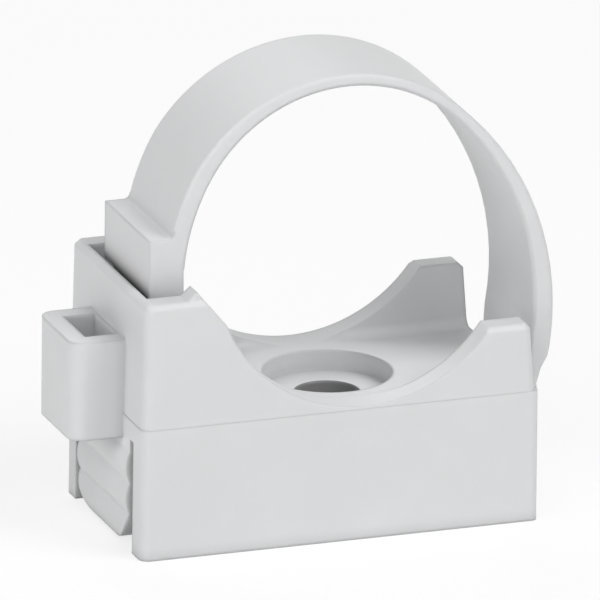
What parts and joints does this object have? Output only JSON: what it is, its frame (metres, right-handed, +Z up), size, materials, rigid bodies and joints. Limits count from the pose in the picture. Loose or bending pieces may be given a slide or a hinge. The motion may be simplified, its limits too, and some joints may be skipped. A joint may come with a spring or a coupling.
{
  "type": "conduit clip",
  "caption": "Screw-down conduit clip: a hollow moulded saddle base with a hinged strap that closes over the conduit, a pry loop and a ribbed tongue.",
  "frame": {"origin": "on the screw hole's axis, level with the base's flat underside", "axes": "+X from the latch end to the hinge end, +Y along the conduit, +Z up from the wall that it is screwed to"},
  "size_m": [0.0398, 0.0182, 0.0374],
  "materials": {
    "base_plastic": "satin, pale grey moulded plastic",
    "strap_plastic": "satin, pale grey moulded plastic"
  },
  "bodies": {
    "base": {"saddle_base": "base_plastic"},
    "strap": {"strap": "strap_plastic"}
  },
  "joints": [
    {"name": "strap_hinge", "type": "hinge", "parent": "base", "child": "strap", "pos_m": [0.015, 0, 0.0098], "axis": [0, 1, 0], "range_deg": [0, 110]}
  ]
}
